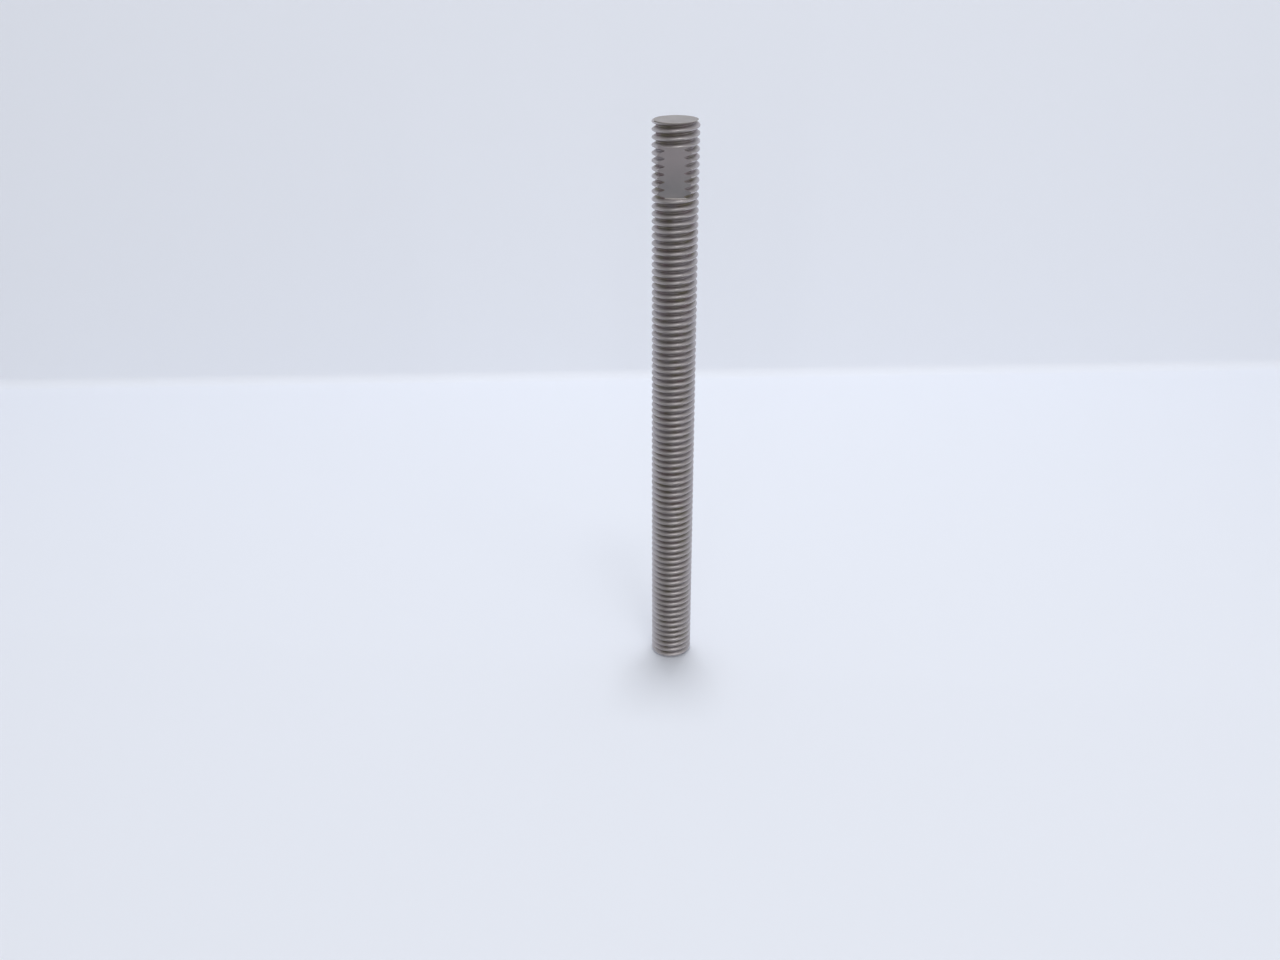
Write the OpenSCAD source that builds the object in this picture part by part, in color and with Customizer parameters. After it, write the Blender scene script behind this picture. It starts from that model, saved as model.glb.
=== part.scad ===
// Fully threaded stud bolt with one milled flat near its upper end.
// Sizes are in millimetres. The stud stands on its lower end face: the origin is the
// centre of that face, +Z runs up the axis, and the flat faces -Y.

/* [Thread] */
// Nominal diameter
nominal_d = 12.7; // [10:0.1:15.3]
// How far the major diameter, over the crests, lies below the nominal one
crest_allowance = 0.3; // [0.1:0.05:0.4]
// How far the pitch diameter lies below the basic one
pitch_allowance = 0.16; // [0:0.01:0.3]
// Threads per inch
threads_per_inch = 13; // [10:1:14]
// Angle round the axis, from +X, at which a crest runs out at the upper end face
crest_angle = 275; // [0:5:355]
// Most triangles that the thread's groove may have
groove_facets = 11500; // [11000:500:12500]

/* [Ends] */
// Overall length
stud_length = 165.1; // [80:0.1:200]
// Chamfer at both ends, taken off the thread's crests
end_chamfer = 0.25; // [0.1:0.05:1.2]

/* [Flat] */
// Length of the flat along the stud
flat_length = 13.1; // [4:0.1:30]
// Distance from the upper end face to the near edge of the flat
flat_from_end = 5.8; // [2:0.1:40]
// Depth of the flat below the thread's crests
flat_depth = 1.8; // [0.5:0.1:3.5]
// Radius that the end mill's corner leaves at both ends of the flat
flat_corner_r = 0.2; // [0.05:0.05:0.4]

/* [Hidden] */

// Unified thread form, with flanks 30 degrees from square to the axis. The groove is half a
// pitch wide at the pitch radius, and goes a third of the sharp V's height deeper.
pitch = 25.4 / threads_per_inch;
flank_angle = 30;
sharp_height = pitch / (2 * tan(flank_angle));
major_r = (nominal_d - crest_allowance) / 2;
pitch_r = (nominal_d - 3 / 4 * sharp_height - pitch_allowance) / 2;
root_r = pitch_r - sharp_height / 3;

// The groove runs out half a pitch above the upper end face, and starts as many whole turns
// lower as it takes to clear the lower one.
turns = ceil(stud_length / pitch) + 1;
groove_top = stud_length + pitch / 2;

// Each turn is a ring of straight chords. Their corners stand as far outside the true radius
// as the middles of the chords lie inside it, and the groove's mouth is wide of the blank
// even at those middles.
steps_per_turn = floor(groove_facets / (8 * turns));
steps = turns * steps_per_turn;
chord_middle = cos(180 / steps_per_turn);
corner_growth = 2 / (1 + chord_middle);
mouth_clearance = 0.03;
mouth_r = (major_r + mouth_clearance) / (corner_growth * chord_middle);

// How far the flat's cutter reaches past the blank
cut_beyond = 1;

// Half the groove's width at a radius
function half_width(r) = pitch / 4 + (r - pitch_r) * tan(flank_angle);

// The groove's four corners, as [radius, height from its middle]
groove_section = [
    [mouth_r, -half_width(mouth_r)],
    [root_r, -half_width(root_r)],
    [root_r, half_width(root_r)],
    [mouth_r, half_width(mouth_r)]
];

// The section's corners at one step up the right-hand helix
function ring(i) =
    let (turn = i / steps_per_turn,
         angle = crest_angle + 360 * turn,
         height = groove_top - pitch * (turns - turn))
    [for (corner = groove_section)
        [corner_growth * corner[0] * cos(angle),
         corner_growth * corner[0] * sin(angle),
         height + corner[1]]];

// Two triangles for each side of the groove between one ring and the next
function side_faces(i) = [
    for (corner = [0:3])
        let (a = 4 * i + corner, b = 4 * i + (corner + 1) % 4)
        each [[a, a + 4, b + 4], [a, b + 4, b]]
];

// The helical groove that cuts the thread
module thread_groove() {
    points = [for (i = [0:steps]) each ring(i)];
    start_cap = [[0, 1, 2, 3]];
    end_cap = [[for (corner = [3:-1:0]) 4 * steps + corner]];
    sides = [for (i = [0:steps - 1]) each side_faces(i)];
    polyhedron(points, concat(start_cap, sides, end_cap), convexity = 10);
}

// The turned blank: a round bar at the major diameter with both ends chamfered
module blank() {
    face_r = major_r - end_chamfer;
    rotate_extrude($fn = 96)
        polygon([
            [0, 0],
            [face_r, 0],
            [major_r, end_chamfer],
            [major_r, stud_length - end_chamfer],
            [face_r, stud_length],
            [0, stud_length]
        ]);
}

// What the end mill takes off in one pass across the stud, which leaves a step at each
// end of the flat, with the mill's corner radius at its foot
module flat_cut() {
    width = 2 * (major_r + cut_beyond);
    depth = flat_depth + cut_beyond;
    translate([-width / 2, -width / 2, stud_length - flat_from_end - flat_length]) {
        cube([width, depth - flat_corner_r, flat_length]);
        translate([0, 0, flat_corner_r])
            cube([width, depth, flat_length - 2 * flat_corner_r]);
        for (height = [flat_corner_r, flat_length - flat_corner_r])
            translate([0, depth - flat_corner_r, height])
                rotate([0, 90, 0])
                    cylinder(r = flat_corner_r, h = width, $fn = 32);
    }
}

module stud() {
    color([0.62, 0.6, 0.59])
        difference() {
            blank();
            thread_groove();
            flat_cut();
        }
}

stud();
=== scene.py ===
import math

import bmesh
import bpy
from mathutils import Matrix, Vector, noise


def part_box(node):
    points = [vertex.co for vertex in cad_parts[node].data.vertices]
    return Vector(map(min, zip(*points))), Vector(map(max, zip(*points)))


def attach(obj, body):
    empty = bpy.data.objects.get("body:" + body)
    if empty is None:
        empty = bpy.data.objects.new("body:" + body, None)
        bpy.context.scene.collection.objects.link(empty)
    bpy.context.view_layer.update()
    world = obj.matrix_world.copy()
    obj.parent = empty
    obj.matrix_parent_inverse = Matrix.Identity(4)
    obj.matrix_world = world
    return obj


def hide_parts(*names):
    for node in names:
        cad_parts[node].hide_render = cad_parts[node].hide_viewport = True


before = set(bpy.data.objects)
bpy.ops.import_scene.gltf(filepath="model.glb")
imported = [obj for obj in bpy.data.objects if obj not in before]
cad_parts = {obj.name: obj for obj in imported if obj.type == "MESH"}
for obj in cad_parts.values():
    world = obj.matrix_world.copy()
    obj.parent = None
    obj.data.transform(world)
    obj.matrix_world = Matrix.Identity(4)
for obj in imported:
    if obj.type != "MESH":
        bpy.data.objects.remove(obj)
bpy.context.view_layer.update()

scene = bpy.context.scene
scene.view_settings.view_transform = "Standard"
MM = 0.001


# The camera stands in front of the stud and above its top, and looks down at it. Its numbers are
# for an image 1280 wide and 960 high.
IMAGE_WIDTH = 1280
FOCAL_PIXELS = 1078.9
SENSOR_MM = 36
CAMERA_AZIMUTH = math.radians(3.8)
CAMERA_DISTANCE = 281.1 * MM
CAMERA_HEIGHT = 216.2 * MM
CAMERA_DOWN = math.radians(28.81)
CAMERA_LEFT = math.radians(1.972)
CAMERA_ROLL = math.radians(-0.40)

camera_data = bpy.data.cameras.new("camera")
camera_data.sensor_width = SENSOR_MM
camera_data.lens = FOCAL_PIXELS * SENSOR_MM / IMAGE_WIDTH
camera_data.clip_start = 0.01
camera_data.clip_end = 10
camera = bpy.data.objects.new("camera", camera_data)
scene.collection.objects.link(camera)
camera.matrix_world = (
    Matrix.Rotation(CAMERA_AZIMUTH, 4, "Z")
    @ Matrix.Translation((0, -CAMERA_DISTANCE, CAMERA_HEIGHT))
    @ Matrix.Rotation(CAMERA_LEFT, 4, "Z")
    @ Matrix.Rotation(math.pi / 2 - CAMERA_DOWN, 4, "X")
    @ Matrix.Rotation(CAMERA_ROLL, 4, "Z")
)
scene.camera = camera


# The floor is a plain pale sheet of matt card that turns up behind the stud into a backdrop.
def linear(hex_colour):
    """The linear colour of an sRGB hex value."""
    channels = [int(hex_colour[i:i + 2], 16) / 255 for i in (0, 2, 4)]
    return [c / 12.92 if c <= 0.04045 else ((c + 0.055) / 1.055) ** 2.4 for c in channels] + [1]


def add_node(tree, kind, settings=None, inputs=None, links=None):
    """Adds a node with its settings, its unlinked input values and its links from other sockets."""
    node = tree.nodes.new(kind)
    for name, value in (settings or {}).items():
        setattr(node, name, value)
    for name, value in (inputs or {}).items():
        node.inputs[name].default_value = value
    for name, socket in (links or {}).items():
        tree.links.new(socket, node.inputs[name])
    return node


def new_material(name):
    """An empty material with its node tree and its output node."""
    material = bpy.data.materials.new(name)
    material.use_nodes = True
    material.node_tree.nodes.clear()
    return material, material.node_tree, material.node_tree.nodes.new("ShaderNodeOutputMaterial")


def object_from(bm, name, materials):
    """Turns a bmesh into an object at the origin."""
    mesh = bpy.data.meshes.new(name)
    bm.to_mesh(mesh)
    bm.free()
    for material in materials:
        mesh.materials.append(material)
    made = bpy.data.objects.new(name, mesh)
    scene.collection.objects.link(made)
    return made


def verts_in(geometry):
    """The vertices in what a bmesh operator returns."""
    return [element for element in geometry if isinstance(element, bmesh.types.BMVert)]


SHEET_HALF_WIDTH = 1500 * MM
SHEET_FRONT = -1500 * MM
SHEET_BACK = 220 * MM
SHEET_TOP = 400 * MM
SHEET_BEND = 5 * MM
SHEET_TURN = math.radians(7)
BEND_SEGMENTS = 8

bm = bmesh.new()
front, corner, top = (
    bm.verts.new(place)
    for place in ((0, SHEET_FRONT, 0), (0, SHEET_BACK, 0), (0, SHEET_BACK, SHEET_TOP))
)
bm.edges.new((front, corner))
bm.edges.new((corner, top))
bmesh.ops.bevel(bm, geom=[corner], offset=SHEET_BEND, segments=BEND_SEGMENTS, profile=0.5,
                affect="VERTICES", material=-1)
bmesh.ops.translate(bm, verts=bm.verts[:], vec=(-SHEET_HALF_WIDTH, 0, 0))
extruded = bmesh.ops.extrude_edge_only(bm, edges=bm.edges[:])["geom"]
bmesh.ops.translate(bm, verts=verts_in(extruded), vec=(2 * SHEET_HALF_WIDTH, 0, 0))
bmesh.ops.rotate(bm, verts=bm.verts[:], cent=(0, 0, 0), matrix=Matrix.Rotation(SHEET_TURN, 3, "Z"))
bmesh.ops.recalc_face_normals(bm, faces=bm.faces[:])
for face in bm.faces:
    face.smooth = True

# Matt card: very faintly blue, and a little paler where it stands up behind the stud. The sockets
# of a Mix node for its two colours and their mixture have these numbers.
COLOUR_A = 6
COLOUR_B = 7
MIXTURE = 2
FLOOR_COLOUR = linear("E4E8F1")
WALL_COLOUR = linear("EFF2F9")
CARD_ROUGHNESS = 0.9
matt_card, tree, output = new_material("matt_card")
place = add_node(tree, "ShaderNodeTexCoord").outputs["Object"]
axes = add_node(tree, "ShaderNodeSeparateXYZ", links={"Vector": place})
rise = add_node(tree, "ShaderNodeMapRange", inputs={"From Max": SHEET_BEND},
                links={"Value": axes.outputs["Z"]})
colour = add_node(tree, "ShaderNodeMix", settings={"data_type": "RGBA"},
                  inputs={COLOUR_A: FLOOR_COLOUR, COLOUR_B: WALL_COLOUR},
                  links={"Factor": rise.outputs["Result"]})
card = add_node(tree, "ShaderNodeBsdfPrincipled", inputs={"Roughness": CARD_ROUGHNESS},
                links={"Base Color": colour.outputs[MIXTURE]})
tree.links.new(card.outputs["BSDF"], output.inputs["Surface"])
object_from(bm, "backdrop", [matt_card])


# The light is a soft lamp over the stud and a weaker one in front of it, two wide low lamps on the
# camera's side, and the pale grey room round it. Places and sizes are in metres, powers in watts.
ROOM_COLOUR = linear("FFFFFF")
ROOM_STRENGTH = 0.43
LAMP_AIM = Vector((0, 0, 0.08))

world = bpy.data.worlds.new("room")
scene.world = world
world.use_nodes = True
world.node_tree.nodes.clear()
world_output = world.node_tree.nodes.new("ShaderNodeOutputWorld")
room = add_node(world.node_tree, "ShaderNodeBackground",
                inputs={"Color": ROOM_COLOUR, "Strength": ROOM_STRENGTH})
world.node_tree.links.new(room.outputs["Background"], world_output.inputs["Surface"])


def square_lamp(name, place, size, power):
    """A square lamp of neutral white, turned towards the stud."""
    data = bpy.data.lights.new(name, "AREA")
    data.shape = "SQUARE"
    data.size = size
    data.energy = power
    lamp = bpy.data.objects.new(name, data)
    lamp.location = place
    lamp.rotation_euler = (LAMP_AIM - lamp.location).to_track_quat("-Z", "Y").to_euler()
    scene.collection.objects.link(lamp)


square_lamp("ceiling_lamp", place=(0, 0.10, 1.1), size=0.15, power=4.6)
square_lamp("front_ceiling_lamp", place=(0.15, -0.35, 1.1), size=0.15, power=1.2)
square_lamp("low_right_lamp", place=(0.76, -0.76, 0.31), size=0.45, power=1.1)
square_lamp("low_front_lamp", place=(0, -1.08, 0.31), size=0.45, power=1.5)


# A black card stands behind the camera and a grey one lies in front of the stud, so that the metal
# has something darker than the sheet to mirror. They show in nothing else and cast no shadow.
def mirrored_card(name, colour, width, height, turn, place):
    """A matt card, turned back about its own width, that only the metal mirrors."""
    bm = bmesh.new()
    bmesh.ops.create_grid(bm, x_segments=1, y_segments=1, size=0.5)
    bmesh.ops.scale(bm, verts=bm.verts[:], vec=(width, height, 1))
    bmesh.ops.rotate(bm, verts=bm.verts[:], cent=(0, 0, 0), matrix=Matrix.Rotation(turn, 3, "X"))
    bmesh.ops.translate(bm, verts=bm.verts[:], vec=place)
    material, tree, output = new_material(name)
    matt = add_node(tree, "ShaderNodeBsdfPrincipled",
                    inputs={"Base Color": linear(colour), "Roughness": CARD_ROUGHNESS})
    tree.links.new(matt.outputs["BSDF"], output.inputs["Surface"])
    card = object_from(bm, name, [material])
    card.visible_camera = False
    card.visible_diffuse = False
    card.visible_shadow = False


mirrored_card("black_card", "101010", width=1000 * MM, height=480 * MM, turn=math.pi / 2,
              place=(0, -420 * MM, 240 * MM))
mirrored_card("grey_card", "8A8A8A", width=600 * MM, height=320 * MM, turn=0,
              place=(0, -170 * MM, 1 * MM))


# The stud is a steel bar with a coarse right-hand thread rolled from end to end. Its ends are cut
# square and lightly chamfered, and one short flat is milled across the thread near the upper end.
# The thread has flanks 30 degrees from square to the axis, and crests that the dies leave round.
lowest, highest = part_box("stud")
STUD_LENGTH = highest.z - lowest.z
THREADS_PER_INCH = 13
PITCH = 25.4 / THREADS_PER_INCH * MM
NOMINAL_RADIUS = 12.7 / 2 * MM
MAJOR_RADIUS = 12.4 / 2 * MM
ROOT_RADIUS = 5.07 * MM
FLANK_SLOPE = math.tan(math.radians(30))
HALF_CREST = PITCH / 16 + (NOMINAL_RADIUS - MAJOR_RADIUS) * FLANK_SLOPE
FLANK_HEIGHT = (MAJOR_RADIUS - ROOT_RADIUS) * FLANK_SLOPE
CREST_AZIMUTH = math.radians(275)
CREST_ROUNDING = 0.999 * HALF_CREST
ROOT_ROUNDING = 0.12 * MM
ROUNDING_SEGMENTS = 3
STEPS_PER_TURN = 64
MERGE_DISTANCE = 0.001 * MM
END_OVERRUN = 0.5 * MM
TURNS_BELOW_TOP = math.ceil(STUD_LENGTH / PITCH) + 1


def outline_edges(bm, points):
    """Draws an open outline of radius and height in the XZ plane, and returns its corners."""
    corners = [bm.verts.new((radius, 0, height)) for radius, height in points]
    for start, end in zip(corners, corners[1:]):
        bm.edges.new((start, end))
    return corners


# One pitch of the thread's outline, from the middle of a root to the middle of the next, is spun
# through one turn of the helix.
bm = bmesh.new()
corners = outline_edges(bm, [
    (ROOT_RADIUS, -PITCH / 2),
    (ROOT_RADIUS, -HALF_CREST - FLANK_HEIGHT),
    (MAJOR_RADIUS, -HALF_CREST),
    (MAJOR_RADIUS, HALF_CREST),
    (ROOT_RADIUS, HALF_CREST + FLANK_HEIGHT),
    (ROOT_RADIUS, PITCH / 2),
])
root_corners = [corners[1], corners[4]]
crest_corners = [corners[2], corners[3]]
for rounded, size in ((root_corners, ROOT_ROUNDING), (crest_corners, CREST_ROUNDING)):
    bmesh.ops.bevel(bm, geom=rounded, offset=size, segments=ROUNDING_SEGMENTS, profile=0.5,
                    affect="VERTICES", material=-1)
bmesh.ops.rotate(bm, verts=bm.verts[:], cent=(0, 0, 0), matrix=Matrix.Rotation(CREST_AZIMUTH, 3, "Z"))
bmesh.ops.spin(bm, geom=bm.verts[:] + bm.edges[:], cent=(0, 0, 0), axis=(0, 0, 1),
               dvec=(0, 0, PITCH / STEPS_PER_TURN), angle=2 * math.pi, steps=STEPS_PER_TURN)

# The turn is doubled until the thread reaches past both ends, and a crest is brought to its
# azimuth at the upper end. Then the thread is cut off and capped just outside both ends.
stacked = 1
while stacked < TURNS_BELOW_TOP + 2:
    copied = bmesh.ops.duplicate(bm, geom=bm.faces[:])["geom"]
    bmesh.ops.translate(bm, verts=verts_in(copied), vec=(0, 0, stacked * PITCH))
    stacked *= 2
bmesh.ops.remove_doubles(bm, verts=bm.verts[:], dist=MERGE_DISTANCE)
bmesh.ops.translate(bm, verts=bm.verts[:], vec=(0, 0, STUD_LENGTH - TURNS_BELOW_TOP * PITCH))
for height, direction in ((-END_OVERRUN, -1), (STUD_LENGTH + END_OVERRUN, 1)):
    cut = bmesh.ops.bisect_plane(bm, geom=bm.verts[:] + bm.edges[:] + bm.faces[:],
                                 dist=MERGE_DISTANCE / 10, plane_co=(0, 0, height),
                                 plane_no=(0, 0, direction), clear_outer=True)
    rim = [element for element in cut["geom_cut"] if isinstance(element, bmesh.types.BMEdge)]
    bmesh.ops.contextual_create(bm, geom=rim)
bmesh.ops.recalc_face_normals(bm, faces=bm.faces[:])

# The dies leave the crests and flanks very slightly uneven.
UNEVEN_DEPTH = 0.045 * MM
UNEVEN_LENGTH = 1.3 * MM
for vertex in bm.verts:
    sunk = UNEVEN_DEPTH * (0.5 + 0.5 * noise.noise(vertex.co / UNEVEN_LENGTH))
    outwards = Vector((vertex.co.x, vertex.co.y, 0)).normalized()
    vertex.co -= sunk * outwards


# What the steel's surfaces share: the distance from the bar's axis, mottling, and bare metal.
def axis_distance(tree, place):
    """The distance from the bar's axis."""
    flattened = add_node(tree, "ShaderNodeVectorMath", settings={"operation": "MULTIPLY"},
                         inputs={1: (1, 1, 0)}, links={0: place})
    return add_node(tree, "ShaderNodeVectorMath", settings={"operation": "LENGTH"},
                    links={0: flattened.outputs["Vector"]}).outputs["Value"]


def mottling(tree, place, size, low, high, across=None, ratio=1):
    """Blotches of a size in metres, from 0 where they are under a low level to 1 over a high one.
    Where a distance is given as across, they are drawn out into streaks: finer along it, by the ratio."""
    settings = {"noise_dimensions": "3D"}
    links = {"Vector": place}
    if across:
        settings["noise_dimensions"] = "4D"
        links["W"] = add_node(tree, "ShaderNodeMath", settings={"operation": "MULTIPLY"},
                              inputs={1: ratio}, links={0: across}).outputs["Value"]
    blotches = add_node(tree, "ShaderNodeTexNoise", settings=settings, inputs={"Scale": 1 / size},
                        links=links)
    return add_node(tree, "ShaderNodeMapRange", inputs={"From Min": low, "From Max": high},
                    links={"Value": blotches.outputs["Fac"]}).outputs["Result"]


def bare_metal(tree, output, colour, rough_level, roughness, bumps):
    """Bare metal of a colour, with a pair of roughnesses that it goes between along a level, and
    bumps as pairs of a height in metres and a level."""
    rough = add_node(tree, "ShaderNodeMapRange",
                     inputs={"To Min": roughness[0], "To Max": roughness[1]},
                     links={"Value": rough_level})
    links = {}
    for height, level in bumps:
        bump = add_node(tree, "ShaderNodeBump", inputs={"Strength": 1, "Distance": height},
                        links={"Height": level, **links})
        links = {"Normal": bump.outputs["Normal"]}
    metal = add_node(tree, "ShaderNodeBsdfPrincipled", inputs={"Metallic": 1},
                     links={"Base Color": colour, "Roughness": rough.outputs["Result"], **links})
    tree.links.new(metal.outputs["BSDF"], output.inputs["Surface"])


# Rolled steel: darker towards the roots and paler towards the crests, which is painted shade in the
# grooves, and a little rougher in the roots. In the roots it is mottled with stains of grey, olive and
# brown.
# Streaks run along the thread and a grain over it, both drawn coarser than real ones.
ROOT_SHADE_BELOW = 5.1 * MM
ROOT_SHADE_ENDS_ABOVE = 5.95 * MM
rolled_steel, tree, output = new_material("rolled_steel")
place = add_node(tree, "ShaderNodeTexCoord").outputs["Object"]
radius = axis_distance(tree, place)
# Painted shade in the grooves: 0 at the roots, rising to 1 towards the crests. The roughness follows it
# too.
root_shade_fade = add_node(tree, "ShaderNodeMapRange",
                   inputs={"From Min": ROOT_SHADE_BELOW, "From Max": ROOT_SHADE_ENDS_ABOVE},
                   links={"Value": radius}).outputs["Result"]
stain = mottling(tree, place, size=5 * MM, low=0.38, high=0.62)
tint = mottling(tree, place, size=3 * MM, low=0.42, high=0.60)
streak = mottling(tree, place, size=5 * MM, low=0.3, high=0.7, across=radius, ratio=30)
grain = mottling(tree, place, size=0.5 * MM, low=0.25, high=0.75)
stained = add_node(tree, "ShaderNodeMix", settings={"data_type": "RGBA"},
                   inputs={COLOUR_A: linear("9A9486"), COLOUR_B: linear("A39597")},
                   links={"Factor": tint})
# The roots' colour: mottled stains, darker than the flanks as painted shade in the grooves.
root = add_node(tree, "ShaderNodeMix", settings={"data_type": "RGBA"},
                inputs={COLOUR_B: linear("B0AAAD")},
                links={"Factor": stain, COLOUR_A: stained.outputs[MIXTURE]})
flank = add_node(tree, "ShaderNodeMix", settings={"data_type": "RGBA"},
                 inputs={COLOUR_A: linear("C1BCBD"), COLOUR_B: linear("D0CBCC")},
                 links={"Factor": streak})
colour = add_node(tree, "ShaderNodeMix", settings={"data_type": "RGBA"},
                  links={"Factor": root_shade_fade, COLOUR_A: root.outputs[MIXTURE],
                         COLOUR_B: flank.outputs[MIXTURE]})
bare_metal(tree, output, colour.outputs[MIXTURE], rough_level=root_shade_fade, roughness=(0.52, 0.44),
           bumps=[(0.006 * MM, streak), (0.012 * MM, grain)])
stud = object_from(bm, "threaded_stud", [rolled_steel])

# Faced steel: the ends are cut off and faced, which leaves fine rings, drawn coarser than real ones,
# and an even matt grey. Their chamfers are darker and rougher.
END_CHAMFER = 0.25 * MM
FACE_RADIUS = MAJOR_RADIUS - END_CHAMFER
SMOOTH_BELOW = 5.88 * MM
ROUGH_ABOVE = 5.98 * MM
faced_steel, tree, output = new_material("faced_steel")
place = add_node(tree, "ShaderNodeTexCoord").outputs["Object"]
radius = axis_distance(tree, place)
ring = mottling(tree, place, size=8 * MM, low=0.3, high=0.7, across=radius, ratio=20)
cloud = mottling(tree, place, size=4 * MM, low=0.3, high=0.7)
grain = mottling(tree, place, size=0.3 * MM, low=0.2, high=0.8)
rim = add_node(tree, "ShaderNodeMapRange",
               inputs={"From Min": SMOOTH_BELOW, "From Max": ROUGH_ABOVE},
               links={"Value": radius}).outputs["Result"]
face_grey = add_node(tree, "ShaderNodeMix", settings={"data_type": "RGBA"},
                     inputs={COLOUR_A: linear("A19D9C"), COLOUR_B: linear("ABA7A6")},
                     links={"Factor": cloud})
colour = add_node(tree, "ShaderNodeMix", settings={"data_type": "RGBA"},
                  inputs={COLOUR_B: linear("8C8886")},
                  links={"Factor": rim, COLOUR_A: face_grey.outputs[MIXTURE]})
bare_metal(tree, output, colour.outputs[MIXTURE], rough_level=rim, roughness=(0.58, 0.8),
           bumps=[(0.003 * MM, ring), (0.003 * MM, grain)])

# The turned blank, whose ends and chamfers the thread is cut back to. Its side stands clear.
SIDE_MARGIN = 1 * MM
BLANK_STEPS = 128
bm = bmesh.new()
outline_edges(bm, [
    (0, 0),
    (FACE_RADIUS, 0),
    (MAJOR_RADIUS + SIDE_MARGIN, END_CHAMFER + SIDE_MARGIN),
    (MAJOR_RADIUS + SIDE_MARGIN, STUD_LENGTH - END_CHAMFER - SIDE_MARGIN),
    (FACE_RADIUS, STUD_LENGTH),
    (0, STUD_LENGTH),
])
bmesh.ops.spin(bm, geom=bm.verts[:] + bm.edges[:], cent=(0, 0, 0), axis=(0, 0, 1), dvec=(0, 0, 0),
               angle=2 * math.pi, steps=BLANK_STEPS, use_merge=True)
bmesh.ops.remove_doubles(bm, verts=bm.verts[:], dist=MERGE_DISTANCE)
bmesh.ops.recalc_face_normals(bm, faces=bm.faces[:])
blank = object_from(bm, "blank", [faced_steel])

# Milled steel: the end mill leaves the flat a duller grey, with marks across the stud, drawn coarser
# than real ones. It is a little paler and warmer towards the upper end, which is painted light.
FLAT_FROM_END = 5.8 * MM
FLAT_LENGTH = 13.1 * MM
FLAT_DEPTH = 1.8 * MM
FLAT_CORNER = 0.2 * MM
CORNER_SEGMENTS = 4
COOL_BELOW = 149 * MM
WARM_ABOVE = 156 * MM
ACROSS_THE_STUD = (0.1, 1, 1)
milled_steel, tree, output = new_material("milled_steel")
place = add_node(tree, "ShaderNodeTexCoord").outputs["Object"]
squeezed = add_node(tree, "ShaderNodeMapping", inputs={"Scale": ACROSS_THE_STUD},
                    links={"Vector": place}).outputs["Vector"]
mark = mottling(tree, squeezed, size=0.7 * MM, low=0.3, high=0.7)
cloud = mottling(tree, place, size=3 * MM, low=0.3, high=0.7)
axes = add_node(tree, "ShaderNodeSeparateXYZ", links={"Vector": place})
# Painted light: the flat's upper end is made paler and warmer.
upper_end_light = add_node(tree, "ShaderNodeMapRange",
                  inputs={"From Min": COOL_BELOW, "From Max": WARM_ABOVE},
                  links={"Value": axes.outputs["Z"]}).outputs["Result"]
cool_grey = add_node(tree, "ShaderNodeMix", settings={"data_type": "RGBA"},
                     inputs={COLOUR_A: linear("A8A5A9"), COLOUR_B: linear("B1AEB1")},
                     links={"Factor": cloud})
colour = add_node(tree, "ShaderNodeMix", settings={"data_type": "RGBA"},
                  inputs={COLOUR_B: linear("BDB6BA")},
                  links={"Factor": upper_end_light, COLOUR_A: cool_grey.outputs[MIXTURE]})
bare_metal(tree, output, colour.outputs[MIXTURE], rough_level=mark, roughness=(0.46, 0.40),
           bumps=[(0.004 * MM, mark)])

# The steps at both ends of the flat are cut by the mill's side, which leaves them uneven.
# Their near-white colour, paler than the rest of the steel, is a painted highlight.
milled_step, tree, output = new_material("milled_step")
place = add_node(tree, "ShaderNodeTexCoord").outputs["Object"]
mark = mottling(tree, place, size=0.5 * MM, low=0.3, high=0.7)
# Near-white colours: painted highlight on the steps.
colour = add_node(tree, "ShaderNodeMix", settings={"data_type": "RGBA"},
                  inputs={COLOUR_A: linear("EEE9E4"), COLOUR_B: linear("F6F1EA")},
                  links={"Factor": mark})
bare_metal(tree, output, colour.outputs[MIXTURE], rough_level=mark, roughness=(0.55, 0.45),
           bumps=[(0.004 * MM, mark)])

# What the end mill takes off for the flat, with its corner radius at the foot of both steps
bm = bmesh.new()
bmesh.ops.create_cube(bm, size=1)
bmesh.ops.scale(bm, verts=bm.verts[:], vec=(4 * MAJOR_RADIUS, 2 * MAJOR_RADIUS, FLAT_LENGTH))
for face in bm.faces:
    face.material_index = 1 if abs(face.normal.z) > 0.5 else 0
foot = [edge for edge in bm.edges
        if all(vertex.co.y > 0 for vertex in edge.verts) and edge.verts[0].co.x != edge.verts[1].co.x]
bmesh.ops.bevel(bm, geom=foot, offset=FLAT_CORNER, segments=CORNER_SEGMENTS, profile=0.5,
                affect="EDGES", material=-1)
bmesh.ops.translate(bm, verts=bm.verts[:], vec=(0, FLAT_DEPTH - 2 * MAJOR_RADIUS,
                                                STUD_LENGTH - FLAT_FROM_END - FLAT_LENGTH / 2))
cutter = object_from(bm, "cutter", [milled_steel, milled_step])

for operation, tool in (("INTERSECT", blank), ("DIFFERENCE", cutter)):
    cut = stud.modifiers.new(tool.name, "BOOLEAN")
    cut.operation = operation
    cut.solver = "MANIFOLD"
    cut.material_mode = "TRANSFER"
    cut.object = tool
finished = stud.evaluated_get(bpy.context.evaluated_depsgraph_get())
cut_mesh = bpy.data.meshes.new_from_object(finished)
stud.modifiers.clear()
stud.data = cut_mesh
for tool in (blank, cutter):
    bpy.data.objects.remove(tool)

# The thread's roundings are smooth. The end faces, the flat and its steps are flat, with sharp edges.
SHARP_ANGLE = math.radians(28)
FLAT_NORMAL = 0.99999
bm = bmesh.new()
bm.from_mesh(stud.data)
for edge in bm.edges:
    edge.smooth = edge.calc_face_angle(0) < SHARP_ANGLE
for face in bm.faces:
    face.smooth = max(abs(face.normal.y), abs(face.normal.z)) < FLAT_NORMAL
bm.to_mesh(stud.data)
bm.free()

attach(stud, "root")
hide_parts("stud")
